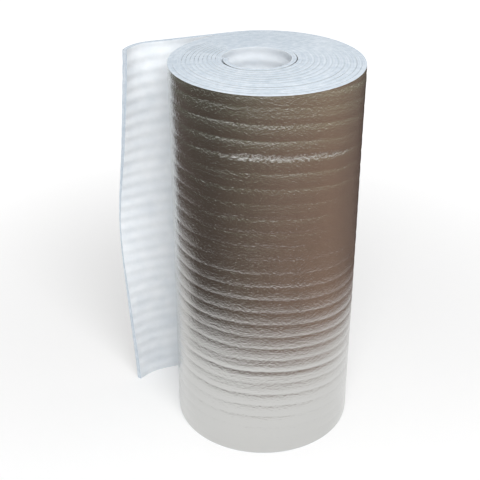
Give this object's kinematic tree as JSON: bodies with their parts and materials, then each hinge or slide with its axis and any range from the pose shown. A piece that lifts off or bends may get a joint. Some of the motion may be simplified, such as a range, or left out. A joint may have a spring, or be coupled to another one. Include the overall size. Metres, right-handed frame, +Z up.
{
  "type": "insulation roll",
  "caption": "Free-standing roll of foil-faced foam insulation sheet, wound film side out around an open bore, with the loose outer end standing beside it",
  "frame": {"origin": "on the bore's axis, in the plane that the roll stands on", "axes": "+Z up along the bore; the loose end leaves at the back left, between -X and +Y, and -Y is the side that the picture shows"},
  "size_m": [0.6286, 0.477, 1],
  "materials": {
    "foam": "matte",
    "foil": "satin"
  },
  "bodies": {
    "root": {"insulation_roll": "foam"}
  },
  "joints": []
}
